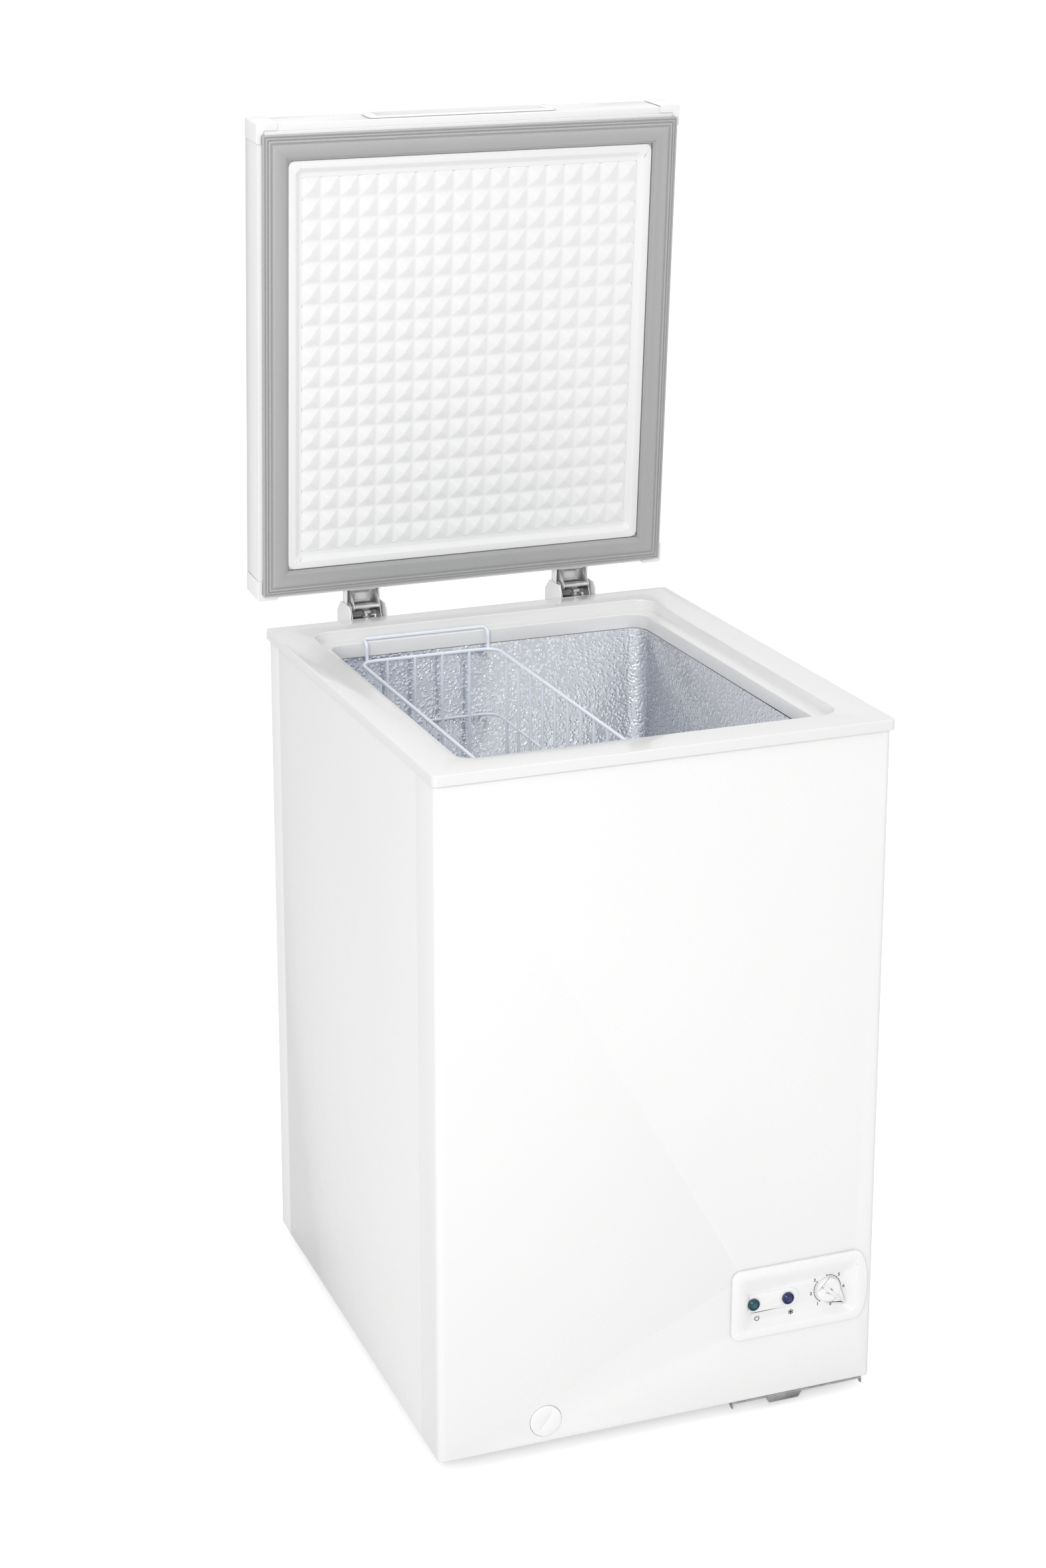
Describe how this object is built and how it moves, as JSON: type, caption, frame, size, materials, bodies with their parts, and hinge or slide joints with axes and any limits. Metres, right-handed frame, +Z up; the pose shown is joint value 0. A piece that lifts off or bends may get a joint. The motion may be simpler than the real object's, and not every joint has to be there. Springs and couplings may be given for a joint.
{
  "type": "chest freezer",
  "caption": "Small chest freezer with a counterbalanced hinged lid standing open, a stepped aluminium tub, a hanging wire basket, a sunk control panel and a front drain.",
  "frame": {"origin": "on the floor, under the middle of the freezer with its lid open", "axes": "+Z up, the front faces -Y, +X to the right seen from the front"},
  "size_m": [0.535, 0.6646, 1.4135],
  "materials": {
    "white_steel": "smooth white powder coat",
    "galvanised_steel": "dull galvanised",
    "foam": "rigid polyurethane foam",
    "embossed_aluminium": "stucco embossed",
    "collar_plastic": "glossy moulded",
    "white_plastic": "satin moulded",
    "copper": "bare copper",
    "compressor_black": "satin black paint",
    "black_plastic": "matt moulded",
    "black_rubber": "matt",
    "gasket_grey": "soft magnetic gasket",
    "bright_zinc": "bright zinc plate",
    "green_lens": "clear tinted",
    "blue_lens": "clear tinted",
    "coated_wire": "white plastic coated"
  },
  "bodies": {
    "cabinet": {"back_panel": "white_steel", "base_plate": "galvanised_steel", "bottom_pan": "galvanised_steel", "cabinet_foam": "foam", "cabinet_wrap": "white_steel", "capillary_tube": "copper", "collar": "collar_plastic", "compressor": "compressor_black", "compressor_grommet_1": "black_rubber", "compressor_grommet_2": "black_rubber", "compressor_grommet_3": "black_rubber", "compressor_grommet_4": "black_rubber", "condenser_tube": "copper", "discharge_tube": "copper", "drain_pipe": "white_plastic", "evaporator_tube": "copper", "filter_drier": "copper", "foot_1": "black_rubber", "foot_2": "black_rubber", "foot_3": "black_rubber", "foot_4": "black_rubber", "hinge_bracket_left": "bright_zinc", "hinge_bracket_right": "bright_zinc", "hinge_cover_left": "white_plastic", "hinge_cover_right": "white_plastic", "hinge_pin_left": "bright_zinc", "hinge_pin_right": "bright_zinc", "hinge_spring_left": "galvanised_steel", "hinge_spring_right": "galvanised_steel", "inner_liner": "embossed_aluminium", "lamp_blue": "blue_lens", "lamp_board": "black_plastic", "lamp_green": "green_lens", "panel_bezel": "white_plastic", "power_cord_gland": "black_plastic", "rear_grille": "white_plastic", "suction_tube": "copper", "terminal_cover": "black_plastic", "thermostat_body": "galvanised_steel"},
    "lid": {"hinge_arm_left": "bright_zinc", "hinge_arm_right": "bright_zinc", "hinge_hood_left": "white_plastic", "hinge_hood_right": "white_plastic", "lid_corner_1": "white_plastic", "lid_corner_2": "white_plastic", "lid_corner_3": "white_plastic", "lid_corner_4": "white_plastic", "lid_foam": "foam", "lid_gasket": "gasket_grey", "lid_handle": "white_plastic", "lid_liner": "white_plastic", "lid_skin": "white_steel"},
    "rod_left": {"hinge_rod_left": "bright_zinc"},
    "rod_right": {"hinge_rod_right": "bright_zinc"},
    "knob": {"thermostat_knob": "white_plastic"},
    "drain_spout": {"drain_slide_tube": "white_plastic"},
    "drain_cap": {"drain_dial": "white_plastic"},
    "floor_plug": {"drain_plug": "white_plastic"},
    "basket": {"basket": "coated_wire"}
  },
  "joints": [
    {"name": "lid_hinge", "type": "hinge", "parent": "cabinet", "child": "lid", "pos_m": [0, 0.28074, 0.809], "axis": [1, 0, 0], "range_deg": [0, 86.2], "stiffness_Nm_per_rad": 5.5},
    {"name": "rod_left_slide", "type": "slide", "parent": "cabinet", "child": "rod_left", "axis": [0, 0, 1], "range_m": [-0.0125, 0], "deforming": ["hinge_spring_left"]},
    {"name": "rod_right_slide", "type": "slide", "parent": "cabinet", "child": "rod_right", "axis": [0, 0, 1], "range_m": [-0.0125, 0], "deforming": ["hinge_spring_right"]},
    {"name": "knob_turn", "type": "hinge", "parent": "cabinet", "child": "knob", "pos_m": [0.2057, -0.32726, 0.134], "axis": [0, 1, 0], "range_deg": [0, 318]},
    {"name": "drain_slide", "type": "slide", "parent": "cabinet", "child": "drain_spout", "axis": [0, -1, 0], "range_m": [0, 0.03]},
    {"name": "drain_turn", "type": "hinge", "parent": "drain_spout", "child": "drain_cap", "pos_m": [-0.1375, -0.32726, 0.0415], "axis": [0, -1, 0], "range_deg": [0, 180]},
    {"name": "plug_lift", "type": "slide", "parent": "cabinet", "child": "floor_plug", "axis": [0, 0, 1], "range_m": [0, 0.1]},
    {"name": "basket_slide", "type": "slide", "parent": "cabinet", "child": "basket", "axis": [1, 0, 0], "range_m": [-0.02, 0.18]}
  ],
  "couplings": [
    {"joint": "rod_left_slide", "follows": "lid_hinge", "m_per_rad": -0.00785},
    {"joint": "rod_right_slide", "follows": "lid_hinge", "m_per_rad": -0.00785}
  ]
}
